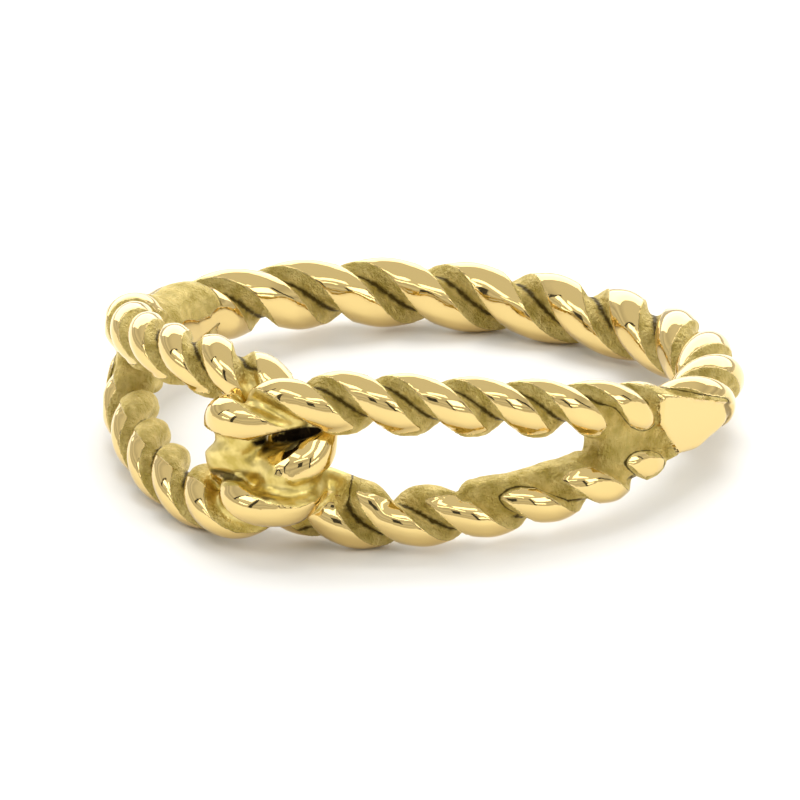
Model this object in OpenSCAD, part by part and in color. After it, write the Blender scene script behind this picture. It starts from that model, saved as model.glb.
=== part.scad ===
// Braided ring
//
// A gold ring, cast in one piece. A thick rope of two plies runs round the back of the finger. At each side
// it meets a loop of thinner rope, and the two loops pass through each other in a knot at the front.
// Millimetres, +Z up. The ring lies on its side on a table at z = 0 with its knot toward -Y, and the origin
// is on the table under the middle of the ring's box.

/* [Finger hole] */
// Diameter of the hole for the finger
hole_d = 17.6; // [14:0.1:22]
// Depth ground off the plies inside the hole
hole_ground = 0.06; // [0:0.01:0.3]

/* [Shank rope] */
// Radius over the plies of the thick rope at the back
shank_r = 1.22; // [0.9:0.01:1.8]
// Length of one full turn of its plies
shank_lay = 6.01; // [4:0.01:9]
// Turn of its plies at the middle of the back
shank_turn = -82; // [-180:1:180]
// Angle from the knot at which it starts
shank_from = 80; // [60:1:110]
// Angle by which its plies lag at each end
shank_slack = 22.1; // [0:0.1:60]
// Length over which they fall behind
slack_run = 5.5; // [1:0.5:10]

/* [Loop rope] */
// Length of one full turn of the thinner rope's plies
loop_lay = 4.54; // [3:0.01:7]
// Turn of its plies at the bend
loop_turn = -33; // [-180:1:180]
// Angle by which they lag where the loop starts
loop_slack_start = 16; // [0:1:60]
// Angle by which they lead where it ends
loop_slack_end = 38; // [0:1:60]
// Angle by which they lead in the right loop's bend
right_bend_slack = -8; // [-45:1:45]
// Angle by which they lead in the left loop's bend
left_bend_slack = 29; // [-45:1:45]
// Length from the bend's middle over which they do
bend_run = 1.5; // [0.5:0.1:3]
// Radius over the plies at the right loop's bend, where the casting is fuller
right_bend_r = 1.2; // [0.7:0.01:1.6]
// Radius over the plies at the left loop's bend
left_bend_r = 1.15; // [0.7:0.01:1.6]
// Angle of the right loop's bend past the knot
right_bend_angle = -7.81; // [-12:0.01:0]
// Angle of the left loop's bend past the knot
left_bend_angle = -7.1; // [-12:0.01:0]
// Distance of the bend's middle from the hole's axis
bend_dist = 10.59; // [9:0.01:13]
// Height of the left junction over the ring's front and back
left_rise = 0.22; // [0:0.01:0.6]
// Height of the right junction over them
right_rise = 0.3; // [0:0.01:0.6]

/* [Plies] */
// Radius left at the bottom of the groove between two plies, as a share of the rope's radius
groove = 0.53; // [0.3:0.01:0.8]
// Roundness of a ply's back, 1 for a half circle and less for a broader back
ply_round = 0.66; // [0.4:0.01:1]
// Radius over a polished ply, as a share of its radius as cast
polish = 0.885; // [0.8:0.005:1]
// Fall of a polished ply's back toward its edges, as a share of the rope's radius
back_fall = 0.19; // [0:0.01:0.3]

/* [Blunt ends] */
// Radius of the plain metal under the first ply of the thick rope
knuckle_r = 1.16; // [0.8:0.01:1.4]
// Angle from the knot at which it starts
knuckle_from = 77.7; // [70:0.1:85]
// Angle at which its lower corner starts
knuckle_low_from = 84.2; // [75:0.1:90]
// Angle at which its lower half ends
knuckle_to = 100; // [90:0.1:110]
// Angle by which it ends sooner for each millimetre over its middle
knuckle_back = 3.5; // [0:0.5:8]
// Height of its top at its start
knuckle_top = 1.5; // [0.5:0.1:2]
// Height under which its start slants
knuckle_corner = 0.4; // [-0.5:0.1:1]
// Height of its top at its end
knuckle_low_top = 0.17; // [-1:0.01:1]
// Distance from the hole's axis of the flat ground across it
flat_dist = 10.7; // [9.5:0.05:12]
// Angle from the knot at which that flat faces
flat_angle = 86; // [60:1:100]
// Radius to which the strands are ground beside it
strand_ground_r = 10.82; // [9.5:0.01:11.5]

/* [Webs] */
// Thickness of the metal that fills the crotch between the two strands
web_t = 1.4; // [0.4:0.1:2]
// Angle from the knot at which the web starts
web_from = 65; // [40:1:80]
// Thickness of the seam of metal along the lower strand on the +X side
seam_t = 0.9; // [0.4:0.1:1.4]
// Angle from the knot at which the seam starts
seam_from = 40; // [20:1:60]
// Height of the seam over the middle of the strand
seam_rise = 1.06; // [0.5:0.01:1.5]

/* [Knot] */
// Radius of the metal that runs between the two bends
fill_r = 0.6; // [0.3:0.01:1]
// Radius of the hump of metal beside them on the lower strand toward +X
hump_r = 0.6; // [0.3:0.01:1]

/* [Rest on the table] */
// Tilt that the knot's greater height gives the lying ring
rest_tilt = 5.83; // [0:0.01:10]
// Roll that the uneven plies under it give
rest_roll = -0.85; // [-3:0.01:3]
// Height of the hole's middle over the table
rest_height = 2.214; // [1:0.001:5]
// Distance from the hole's axis to the middle of the ring's box
rest_shift = 0.82; // [-3:0.01:3]

/* [Hidden] */

GOLD = [0.83, 0.66, 0.33];

// The run of one loop from the shank to the knot, seen from the hole's axis. Its two strands share the rows:
// the upper one stands at +height and upper_dist, the lower one at -height and lower_dist.
// Columns: angle from the knot, height, upper_dist, lower_dist, rope_r
STRANDS = [
    [91, 0.15,  9.95,  9.95, 0.40],
    [83, 0.55,  9.98,  9.98, 0.74],
    [74, 1.00,  9.98,  9.98, 0.93],
    [62, 1.38,  9.96,  9.95, 0.93],
    [46, 1.79,  9.88,  9.80, 0.95],
    [30, 2.08, 10.18,  9.72, 0.99],
    [16, 2.22, 10.61,  9.66, 1.03],
    [ 5, 1.99, 11.29,  9.70, 1.02],
    [-3, 1.26, 11.59,  9.72, 1.07],
    [-6, 0.90, 11.24, 10.17, 1.10],
];
ANGLE = 0;
HEIGHT = 1;
UPPER = 2;
LOWER = 3;
ROPE = 4;

// The ends of the metal between the bends.
// Columns: x, y, z
FILL_ENDS = [
    [-0.6, -10.95, -0.45],
    [ 1.3, -11.05,  0.05],
];
// The ends of the hump beside them
HUMP_ENDS = [
    [1.80, -9.73, -1.05],
    [3.10, -9.40, -1.42],
];

// The deep gaps in the casting: over the knot's bend, under the left lump and behind the right blunt end.
// Columns: angle from the knot, distance from the hole's axis, height, half length, half depth, half height,
// rise along its length, fall inward, turn toward the other side inward
PITS = [
    [  5.0, 11.60,  0.98, 1.30, 0.80, 0.20,  14.4, 17.3, 22.3],
    [ -6.2, 11.50, -0.82, 0.62, 0.50, 0.10, -16.4, 17.3, 33.5],
    [101.5, 10.95, -0.05, 0.80, 0.25, 0.12, -57.8,  0.0,  0.0],
];
PIT_DIST = 1;
PIT_HEIGHT = 2;
PIT_HALF = [3, 4, 5];
PIT_SLANT = 6;
PIT_LEAN = 7;
PIT_SWEEP = 8;

hole_r = hole_d / 2;
shank_dist = hole_r - hole_ground + shank_r;
big = 3 * hole_d;

// Rings of points along a rope per turn of its plies, and points round one section
RINGS_PER_LAY = 12;
SECTION_POINTS = 16;
// Steps of the smooth curve between two rows of a route
CURVE_STEPS = 12;
// Facets of a fine round surface, of a small round piece and of a web's hidden ends
FINE = 72;
SMALL = 16;
COARSE = 12;
// The polishing wheel comes at a loop from this angle past outward, away from the slot, and the cosines to it
// between which its reach grows from none to whole
WHEEL_ANGLE = 50;
WHEEL_MISSES = -0.5;
WHEEL_REACHES = -0.15;
// How far in from the thick rope's middle the webs stand, and how flat the blunt end's upper half is
WEB_IN = 0.2;
UPPER_FLAT = 0.6;
// Angles by which a web, the seam, the blunt end's round and its ground flat run on past their ends
WEB_LAP = 6;
SEAM_LAP = 2;
ROUND_LAP = 6;
FLAT_LAP = 15;
// Angles between which the strands are ground
GROUND_FROM = 44;
GROUND_TO = 79;
// How sharply a ply meets its groove
MEETING = 8;

// A spot on a route: place and rope radius, from the angle, the distance from the axis, the height and the
// rise of the ring's side
function spot(angle, dist, z, r, rise) =
    [dist * sin(angle), -dist * cos(angle), z + rise * pow(sin(angle), 2), r];
function place(v) = [v.x, v.y, v.z];
function unit(v) = v / norm(v);

// The smooth curve through a route's rows
function blend(a, b, c, d, t) =
    (2 * b + (c - a) * t + (2 * a - 5 * b + 4 * c - d) * pow(t, 2) + (3 * b - a - 3 * c + d) * pow(t, 3)) / 2;
function held(rows, i) = rows[max(0, min(len(rows) - 1, i))];
function smooth(rows) = concat(
    [for (i = [0 : len(rows) - 2], k = [0 : CURVE_STEPS - 1])
        blend(held(rows, i - 1), rows[i], rows[i + 1], held(rows, i + 2), k / CURVE_STEPS)],
    [rows[len(rows) - 1]]
);

// The length run at each point of a line, and the line again with its points evenly apart
function step_to(line, i) = i < len(line) ? norm(place(line[i]) - place(line[i - 1])) : 0;
function run(line) = [for (i = 0, s = 0; i < len(line); s = s + step_to(line, i + 1), i = i + 1) s];
function evenly(line, gap) =
    let (
        s = run(line),
        total = s[len(s) - 1],
        n = ceil(total / gap),
        tables = [for (c = [0 : 3]) [for (i = [0 : len(line) - 1]) [s[i], line[i][c]]]]
    )
    [for (k = [0 : n]) [for (c = [0 : 3]) lookup(total * k / n, tables[c])]];

// A smooth rise from 0 at low to 1 at high
function ramp(low, high, value) =
    let (t = max(0, min(1, (value - low) / (high - low))))
    t * t * (3 - 2 * t);

// Radius of a two-ply section as cast, at an angle from the top of a ply, for polished plies of radius 1
function cast(angle) =
    let (c = abs(cos(angle)), s = sin(angle), lobe = c / (c * c + ply_round * s * s) / polish)
    pow(pow(lobe, MEETING) + pow(groove, MEETING), 1 / MEETING);

// Radius to which the wheel takes it, where it reaches the rope well or badly
function wheel(angle, reached) = 1 - back_fall * pow(sin(angle), 2) + (1 - reached) * (1 / polish - 1);
function reached(outward) = ramp(WHEEL_MISSES, WHEEL_REACHES, cos(outward - WHEEL_ANGLE));

// One ring of points round a line at point i, its plies turned by an angle from the outward direction
function section(line, i, turn, slotted) =
    let (
        here = line[i],
        along = unit(place(held(line, i + 1)) - place(held(line, i - 1))),
        away = unit([here.x, here.y, 0]),
        out = unit(away - (away * along) * along),
        side = cross(along, out)
    )
    [for (j = [0 : SECTION_POINTS - 1])
        let (
            a = 360 * j / SECTION_POINTS,
            share = slotted ? reached(a + turn) : 1,
            r = here[3] * min(cast(a), wheel(a, share))
        )
        place(here) + r * (cos(a + turn) * out + sin(a + turn) * side)];

// How far the plies lead at run s of a rope of a length: behind at its start, ahead at its end and in a bend
// in its middle
function lead(s, length, slack, bend_slack) =
    slack[1] * ramp(length - slack_run, length, s) - slack[0] * ramp(slack_run, 0, s)
    + bend_slack * ramp(bend_run, 0, abs(s - length / 2));

// A rope of two plies along a line, with its plies at `turn` in the middle of the line but for their slack,
// and with a slot beside it or not
module rope(line, lay, turn, slack, bend_slack, slotted) {
    s = run(line);
    length = s[len(s) - 1];
    m = SECTION_POINTS;
    rings = len(line);
    turns = [for (i = [0 : rings - 1])
        turn + 360 * (s[i] - length / 2) / lay + lead(s[i], length, slack, bend_slack)];
    points = [for (i = [0 : rings - 1]) each section(line, i, turns[i], slotted)];
    sides = [for (i = [0 : rings - 2], j = [0 : m - 1])
        let (a = i * m + j, b = i * m + (j + 1) % m)
        each [[a, a + m, b], [b, a + m, b + m]]];
    ends = [[for (j = [0 : m - 1]) j], [for (j = [m - 1 : -1 : 0]) (rings - 1) * m + j]];
    polyhedron(points = points, faces = concat(sides, ends), convexity = 10);
}

// The thick rope round the back of the finger
module shank() {
    arc = [for (a = [shank_from : 2 : 360 - shank_from])
        spot(a, shank_dist, 0, shank_r, a < 180 ? right_rise : left_rise)];
    color(GOLD) rope(evenly(arc, shank_lay / RINGS_PER_LAY), shank_lay, shank_turn,
        [shank_slack, shank_slack], 0, false);
}

// The loop on the +X side: its upper strand passes outside the other loop, its lower strand inside
module loop(rise, bend_angle, bend_r, bend_slack) {
    last = len(STRANDS) - 1;
    route = concat(
        [for (row = STRANDS) spot(row[ANGLE], row[UPPER], row[HEIGHT], row[ROPE], rise)],
        [spot(bend_angle, bend_dist, 0, bend_r, rise)],
        [for (i = [last : -1 : 0])
            spot(STRANDS[i][ANGLE], STRANDS[i][LOWER], -STRANDS[i][HEIGHT], STRANDS[i][ROPE], rise)]
    );
    color(GOLD) rope(evenly(smooth(route), loop_lay / RINGS_PER_LAY), loop_lay, loop_turn,
        [loop_slack_start, loop_slack_end], bend_slack, true);
}

// Height of the strands at an angle from the knot, read from the rows between the shank and the front
function strand_height(angle) =
    lookup(angle, [for (row = STRANDS) if (row[ANGLE] > 10) [row[ANGLE], row[HEIGHT]]]);

// A curved slab of thickness t from one angle to another, between bottom and top over the middle plane, which
// are both given as shares of the strands' height and a rise over them
module slab(from, to, t, bottom, top, rise) {
    steps = 5;
    stride = (to - from) / steps;
    module post(angle) {
        tall = strand_height(angle);
        low = bottom.x * tall + bottom.y;
        high = top.x * tall + top.y;
        rotate(angle) translate([0, WEB_IN - shank_dist, rise * pow(sin(angle), 2) + low])
            cylinder(r = t / 2, h = high - low, $fn = COARSE);
    }
    color(GOLD) for (k = [0 : steps - 1]) hull() {
        post(from + k * stride);
        post(from + (k + 1) * stride);
    }
}

// The web of metal in the crotch between the two strands of a loop
module web(rise) {
    slab(web_from, shank_from + WEB_LAP, web_t, [-1, 0], [1, 0], rise);
}

// The seam of metal along the lower strand on the +X side, toward the slot
module seam() {
    slab(seam_from, web_from + SEAM_LAP, seam_t, [-1, 0], [-1, seam_rise], right_rise);
}

// A plate through the side of the ring, drawn as seen from outside: points are [angle, height]
module outline(points, rise) {
    middle = (knuckle_from + knuckle_to) / 2;
    translate([0, 0, rise]) rotate(middle) rotate([90, 0, 0]) linear_extrude(big)
        polygon([for (p = points) [flat_dist * sin(p.x - middle), p.y]]);
}

// Height of the blunt end's slanting top at an angle from the knot
function knuckle_height(angle) =
    knuckle_top + (knuckle_low_top - knuckle_top) * (angle - knuckle_from) / (knuckle_to - knuckle_from);

// The plain metal at the blunt end of the thick rope, under its first ply
module knuckle(rise) {
    color(GOLD) intersection() {
        translate([0, 0, rise]) rotate(-90 + knuckle_from - ROUND_LAP)
            rotate_extrude(angle = knuckle_to - knuckle_from + 2 * ROUND_LAP, $fn = FINE)
            translate([shank_dist, 0]) {
                circle(r = knuckle_r, $fn = SMALL);
                intersection() {
                    scale([1, 1 / UPPER_FLAT]) circle(r = knuckle_r, $fn = SMALL);
                    translate([-knuckle_r, 0]) square(2 * knuckle_r);
                }
            }
        outline([
            [knuckle_from, knuckle_top],
            [knuckle_from, knuckle_corner],
            [knuckle_low_from, knuckle_corner - knuckle_r],
            [knuckle_low_from, -big],
            [knuckle_to, -big],
            [knuckle_to, 0],
            [knuckle_to - knuckle_back * knuckle_low_top, knuckle_low_top],
        ], rise);
    }
}

// A round-ended bar of metal: what runs between the two bends, or the hump beside them
module bar(ends, r) {
    color(GOLD) hull() for (end = ends) translate(end) sphere(r = r, $fn = SMALL);
}

// A deep gap, as an ellipsoid that opens outward
module pit(row) {
    color(GOLD) rotate(row[ANGLE]) translate([0, -row[PIT_DIST], row[PIT_HEIGHT]])
        rotate(row[PIT_SWEEP]) rotate([0, -row[PIT_SLANT], 0]) rotate([-row[PIT_LEAN], 0, 0])
        scale([for (column = PIT_HALF) row[column]]) sphere(r = 1, $fn = SMALL);
}

// What is ground away on a side: the flat across the blunt end and the backs of the strands beside it
module ground_side(rise) {
    intersection() {
        rotate(flat_angle) translate([-big / 2, -flat_dist - big, -big / 2]) cube(big);
        outline([
            [knuckle_from - FLAT_LAP, knuckle_height(knuckle_from - FLAT_LAP)],
            [knuckle_from - FLAT_LAP, -big],
            [knuckle_to + FLAT_LAP, -big],
            [knuckle_to + FLAT_LAP, knuckle_height(knuckle_to + FLAT_LAP)],
        ], rise);
    }
    rotate(-90 + GROUND_FROM) rotate_extrude(angle = GROUND_TO - GROUND_FROM, $fn = FINE)
        translate([strand_ground_r, -hole_r]) square([hole_r, hole_d]);
}

module ground_hole() {
    cylinder(r = hole_r, h = hole_d, center = true, $fn = FINE);
}

// The loop, the web and the blunt end of one side
module side(rise, bend_angle, bend_r, bend_slack) {
    loop(rise, bend_angle, bend_r, bend_slack);
    web(rise);
    knuckle(rise);
}

// Turns its children half round about the knot's own axis
module half_turn() {
    rotate([0, 180, 0]) children();
}

module lying() {
    translate([0, rest_shift, rest_height]) rotate([-rest_tilt, rest_roll, 0]) children();
}

module ring() {
    lying() difference() {
        union() {
            shank();
            side(right_rise, right_bend_angle, right_bend_r, right_bend_slack);
            half_turn() side(-left_rise, left_bend_angle, left_bend_r, left_bend_slack);
            seam();
            bar(FILL_ENDS, fill_r);
            bar(HUMP_ENDS, hump_r);
        }
        for (row = PITS) pit(row);
        color(GOLD) ground_side(right_rise);
        color(GOLD) half_turn() ground_side(-left_rise);
        color(GOLD) ground_hole();
    }
}

ring();
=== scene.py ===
"""Braided ring: one gold casting, a two-ply rope that parts into two loops knotted through each other.

The ropes are swept by Geometry Nodes, fused into one casting, drawn on to the smooth form of the cast metal
and given the rough skin that a polishing wheel can't reach. Sizes are in millimetres until the casting is
laid on the table, and in metres from there.
"""

import logging
import math
from dataclasses import dataclass, field
from enum import Enum

import bpy
import numpy as np
from mathutils import Matrix, Vector

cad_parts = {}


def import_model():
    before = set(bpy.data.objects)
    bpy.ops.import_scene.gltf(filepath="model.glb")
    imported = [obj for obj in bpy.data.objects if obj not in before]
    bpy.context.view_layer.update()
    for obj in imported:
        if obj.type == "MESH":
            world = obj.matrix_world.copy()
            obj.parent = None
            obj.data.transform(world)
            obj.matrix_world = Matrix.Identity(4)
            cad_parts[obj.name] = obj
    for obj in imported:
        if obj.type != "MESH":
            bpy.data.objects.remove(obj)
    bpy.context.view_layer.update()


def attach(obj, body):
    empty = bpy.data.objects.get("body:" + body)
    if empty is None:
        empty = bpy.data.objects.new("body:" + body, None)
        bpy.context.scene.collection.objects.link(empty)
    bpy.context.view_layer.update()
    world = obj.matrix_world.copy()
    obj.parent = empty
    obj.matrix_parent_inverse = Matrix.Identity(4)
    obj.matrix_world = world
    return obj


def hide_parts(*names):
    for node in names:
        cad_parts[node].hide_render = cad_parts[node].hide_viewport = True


MM = 0.001
# The power that joins a ply's section to the floor of its groove: the higher, the sharper the join
SHARPNESS = 8
# What stands for a distance that doesn't count
FAR = 1e6
# The corners of a flat sheet, in halves of its width and height
CORNERS = ((-1, -1), (1, -1), (1, 1), (-1, 1))
log = logging.getLogger("braided_ring")

Pair = tuple[float, float]
Triple = tuple[float, float, float]
Colour = tuple[float, float, float, float]


class Face(Enum):
    """The values held at a mesh's points, which the trees and the gold's material read by name."""

    POLISHED = "polished"
    SATIN = "satin"
    # deep holds how dark the painted shade in the deep gaps is; meeting places the painted shade along the
    # line where two plies meet.
    DEEP = "deep"
    MEETING = "meeting"
    RADIUS = "rope_radius"


class Socket(Enum):
    """The kinds of input and output that a tree has."""

    GEOMETRY = "NodeSocketGeometry"
    MATERIAL = "NodeSocketMaterial"
    FLOAT = "NodeSocketFloat"
    WHOLE = "NodeSocketInt"


@dataclass(frozen=True)
class StrandRow:
    """One place on a loop, shared by its upper and lower strand.

    Args:
        angle: degrees from the knot, seen from the hole's axis.
        height: height of the upper strand and depth of the lower one.
        upper_dist: distance of the upper strand from the hole's axis.
        lower_dist: distance of the lower strand from the hole's axis.
        rope_r: radius over the plies.
    """

    angle: float
    height: float
    upper_dist: float
    lower_dist: float
    rope_r: float


@dataclass(frozen=True)
class Pit:
    """A deep place in the casting, as an ellipsoid that opens outward, where the gold is painted dark as
    shade.

    Args:
        angle: degrees from the knot to its middle.
        dist: distance of its middle from the hole's axis.
        height: height of its middle.
        half: its half length, half depth and half height.
        slant: how steeply it rises along its length, in degrees.
        lean: how steeply it falls inward, in degrees.
        sweep: how far it turns toward -X inward, in degrees.
        gap_shade: how dark its deepest metal is painted, as shade, 1 for black.
    """

    angle: float
    dist: float
    height: float
    half: Triple
    slant: float
    lean: float
    sweep: float
    # Painted shade: how dark the gold in this gap is painted, standing in for the shadow deep inside it.
    gap_shade: float

    @property
    def middle(self) -> np.ndarray:
        """Its middle, in the ring's own frame."""
        a = math.radians(self.angle)
        return np.array([self.dist * math.sin(a), -self.dist * math.cos(a), self.height])

    @property
    def axes(self) -> np.ndarray:
        """Its unit axes along, out and across, one a row."""
        a, slant, lean = (math.radians(v) for v in (self.angle + self.sweep, self.slant, self.lean))
        round_ring, up = np.array([math.cos(a), math.sin(a), 0.0]), np.array([0.0, 0.0, 1.0])
        away = np.array([math.sin(a), -math.cos(a), 0.0])
        along = math.cos(slant) * round_ring + math.sin(slant) * up
        across = math.cos(slant) * up - math.sin(slant) * round_ring
        out = math.cos(lean) * away + math.sin(lean) * across
        return np.array([along, out, math.cos(lean) * across - math.sin(lean) * away])

    def off(self, points: np.ndarray, wider: Triple = (0.0, 0.0, 0.0)) -> np.ndarray:
        """How far points stand off the pit.

        Args:
            points: places in the ring's own frame.
            wider: how much longer, deeper and taller than it is the pit is taken to be.

        Returns:
            The distance, negative inside.
        """
        half = np.add(self.half, wider)
        at = (points - self.middle) @ self.axes.T
        share, steep = np.linalg.norm(at / half, axis=1), np.linalg.norm(at / half**2, axis=1)
        return share * (share - 1.0) / np.maximum(steep, 1e-6)


@dataclass(frozen=True)
class RingSizes:
    """The driving sizes of the ring, in millimetres and degrees.

    Args:
        hole_d: width of the finger hole.
        hole_ground: depth to which the shank is ground inside it.
        shank_r: radius of the thick rope over its plies.
        shank_lay: length of one full turn of its plies.
        shank_turn: how far they are turned from outward at the back.
        shank_from: angle from the knot at which it starts.
        shank_step: angle between two of its rows.
        shank_slack: how far its plies lag at its start and lead at its end.
        loop_slack: the same for a loop.
        slack_run: length of rope over which they do.
        loop_lay: length of one full turn of a loop's plies.
        loop_turn: how far they are turned from outward in the bend.
        right_bend_r: radius of the right loop's bend over the plies.
        left_bend_r: the same for the left loop.
        right_bend_angle: angle of the right loop's bend, less than 0 past the knot.
        left_bend_angle: the same for the left loop.
        bend_dist: distance of the bends from the hole's axis.
        right_bend_slack: how far the right loop's plies lead in its bend.
        left_bend_slack: the same for the left loop.
        bend_run: length of rope over which they do.
        bend_from: angle from the knot up to which a loop's rows count as its bend.
        left_rise: how far the left side stands over the front and back.
        right_rise: the same for the right side.
        groove: radius of a groove's floor, for plies of radius 1.
        ply_round: how round a ply's section is.
        polish: share of the cast radius that the wheel leaves at a ply's top.
        back_fall: how far the polished back falls away to the groove.
        wheel_angle: direction from which the wheel comes, from outward.
        wheel_reach: how far round from it its work starts and is whole, as cosines.
        flat_dist: distance of a junction's ground flat from the hole's axis.
        flat_angle: angle from the knot that the flat faces.
        strand_ground_r: radius to which the strands' backs are ground.
        ground_from: angles between which that band starts.
        ground_to: angles between which it ends.
        web_t: thickness of a web.
        web_from: angle from the knot at which it starts.
        web_lap: how far it reaches into the shank.
        web_in: how much nearer the hole it lies than the shank.
        web_curl: how far its edge bows at the strands.
        knuckle_r: radius of a blunt end.
        knuckle_flat: its radius over its height in its upper half on the +X side, its lower on the other.
        knuckle_to: angle from the knot at which it ends.
        knuckle_back: how much nearer that is a millimetre up in the same half.
        knuckle_from: angle from the knot at which it starts.
        knuckle_slant: how much farther that is for each millimetre under its corner.
        knuckle_corner: height of the corner.
        knuckle_depth: how far under the corner the slant goes on.
        knuckle_top: height of its top at its start.
        knuckle_fall: how far the top falls for each degree.
        seam_t: thickness of the seam along the lower strand.
        seam_from: angle from the knot at which it starts.
        seam_rise: its height over the strand's middle.
        fill_r: radius of the bars of metal in the knot.
        fill_ends: ends of the bar between the bends.
        hump_ends: ends of the bar beside them on the lower strand.
        pits: the deep gaps.
        rest_tilt: how far the ring leans back as it lies.
        rest_roll: how far it leans to the side.
        rest_height: height of its middle over the table.
        rest_shift: how far back its middle lies.
        strands: the rows of a loop, from the shank to the bend.
    """

    hole_d: float = 17.6
    hole_ground: float = 0.06
    shank_r: float = 1.22
    shank_lay: float = 6.01
    shank_turn: float = -82.0
    shank_from: float = 80.0
    shank_step: float = 2.0
    shank_slack: Pair = (22.1, 22.1)
    loop_slack: Pair = (16.0, 38.0)
    slack_run: float = 5.5
    loop_lay: float = 4.54
    loop_turn: float = -33.0
    right_bend_r: float = 1.2
    left_bend_r: float = 1.15
    right_bend_angle: float = -7.8
    left_bend_angle: float = -7.1
    bend_dist: float = 10.59
    right_bend_slack: float = -8.0
    left_bend_slack: float = 29.0
    bend_run: float = 1.5
    bend_from: float = 10.0
    left_rise: float = 0.22
    right_rise: float = 0.3
    groove: float = 0.53
    ply_round: float = 0.66
    polish: float = 0.885
    back_fall: float = 0.19
    wheel_angle: float = 50.0
    wheel_reach: Pair = (-0.5, -0.15)
    flat_dist: float = 10.7
    flat_angle: float = 86.0
    strand_ground_r: float = 10.82
    ground_from: Pair = (40.0, 50.0)
    ground_to: Pair = (76.0, 82.0)
    web_t: float = 1.4
    web_from: float = 65.0
    web_lap: float = 6.0
    web_in: float = 0.2
    web_curl: float = 3.0
    knuckle_r: float = 1.16
    knuckle_flat: float = 0.6
    knuckle_to: float = 100.0
    knuckle_back: float = 3.5
    knuckle_from: float = 77.7
    knuckle_slant: float = 5.2
    knuckle_corner: float = 0.4
    knuckle_depth: float = 1.25
    knuckle_top: float = 1.5
    knuckle_fall: float = 0.059
    seam_t: float = 0.9
    seam_from: float = 36.0
    seam_rise: float = 1.11
    fill_r: float = 0.6
    fill_ends: tuple[Triple, ...] = ((-0.6, -10.95, -0.45), (1.3, -11.05, 0.05))
    hump_ends: tuple[Triple, ...] = ((1.8, -9.73, -1.05), (3.1, -9.4, -1.42))
    pits: tuple[Pit, ...] = (
        Pit(5.0, 11.6, 0.98, (1.3, 0.8, 0.2), 14.4, 17.3, 22.3, 1.0),
        Pit(-6.2, 11.5, -0.82, (0.62, 0.5, 0.1), -16.4, 17.3, 33.5, 0.7),
        Pit(101.5, 10.95, -0.05, (0.8, 0.25, 0.12), -57.8, 0.0, 0.0, 0.6),
    )
    rest_tilt: float = 5.83
    rest_roll: float = -0.85
    rest_height: float = 2.214
    rest_shift: float = 0.82
    strands: tuple[StrandRow, ...] = (
        StrandRow(91, 0.15, 9.95, 9.95, 0.40),
        StrandRow(83, 0.55, 9.98, 9.98, 0.74),
        StrandRow(74, 1.0, 9.98, 9.98, 0.93),
        StrandRow(62, 1.38, 9.96, 9.95, 0.93),
        StrandRow(46, 1.79, 9.88, 9.80, 0.95),
        StrandRow(30, 2.08, 10.18, 9.72, 0.99),
        StrandRow(16, 2.22, 10.61, 9.66, 1.03),
        StrandRow(5, 1.99, 11.29, 9.70, 1.02),
        StrandRow(-3, 1.26, 11.59, 9.72, 1.07),
        StrandRow(-6, 0.90, 11.24, 10.17, 1.10),
    )

    @property
    def hole_r(self) -> float:
        """Radius of the finger hole."""
        return self.hole_d / 2

    @property
    def shank_dist(self) -> float:
        """Distance of the thick rope's centre line from the hole's axis."""
        return self.hole_r - self.hole_ground + self.shank_r

    def strand_height(self, angles: np.ndarray) -> np.ndarray:
        """Height of the upper strand at angles from the knot, between the shank and the bend."""
        rows = sorted((r.angle, r.height) for r in self.strands if r.angle > self.bend_from)
        return np.interp(angles, [r[0] for r in rows], [r[1] for r in rows])

    def spot(self, angle: float, dist: float, height: float, radius: float, rise: float) -> list[float]:
        """A place on a route and the rope's radius there.

        Args:
            angle: degrees from the knot.
            dist: distance from the hole's axis.
            height: height over the ring's middle plane.
            radius: radius over the plies.
            rise: how far the ring's side stands over its front and back.

        Returns:
            The place's x, y and z, and the radius.
        """
        a = math.radians(angle)
        return [dist * math.sin(a), -dist * math.cos(a), height + rise * math.sin(a) ** 2, radius]

    def loop_rows(self, rise: float, bend_angle: float, bend_r: float) -> np.ndarray:
        """The rows that a loop's centre line runs through, from the shank round the bend and back.

        Args:
            rise: how far its junction stands over the knot.
            bend_angle: degrees from the knot of its bend, less than 0 past it.
            bend_r: radius over the plies in the bend.

        Returns:
            Places and radii, one a row, for a loop on the +X side.
        """
        rows = self.strands
        upper = [self.spot(r.angle, r.upper_dist, r.height, r.rope_r, rise) for r in rows]
        lower = [self.spot(r.angle, r.lower_dist, -r.height, r.rope_r, rise) for r in reversed(rows)]
        return np.array(upper + [self.spot(bend_angle, self.bend_dist, 0.0, bend_r, rise)] + lower)

    def shank_rows(self) -> np.ndarray:
        """The rows that the thick rope's centre line runs through, round the back of the finger."""
        angles = np.arange(self.shank_from, 360.0 - self.shank_from + 1e-6, self.shank_step)
        rise = {True: self.right_rise, False: self.left_rise}
        return np.array([self.spot(a, self.shank_dist, 0.0, self.shank_r, rise[a < 180.0]) for a in angles])


def unit(rows: np.ndarray) -> np.ndarray:
    """Rows scaled to length 1."""
    return rows / np.linalg.norm(rows, axis=-1, keepdims=True)


def ramp(low: float, high: float, value: np.ndarray) -> np.ndarray:
    """A smooth rise from 0 at low to 1 at high, or a fall where low is the greater.

    Args:
        low: the value that gives 0.
        high: the value that gives 1.
        value: what is read.

    Returns:
        The height of the ramp for each value.
    """
    t = np.clip((value - low) / (high - low), 0.0, 1.0)
    return t * t * (3.0 - 2.0 * t)


def soft_min(a: np.ndarray, b: np.ndarray, reach: float) -> np.ndarray:
    """The lesser of two fields, with a fillet where they meet.

    Args:
        a: one field.
        b: the other field.
        reach: how near the two must be for the fillet to show.

    Returns:
        The joined field.
    """
    h = np.clip((reach - np.abs(a - b)) / reach, 0.0, 1.0)
    return np.minimum(a, b) - h * h * reach / 4.0


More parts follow.
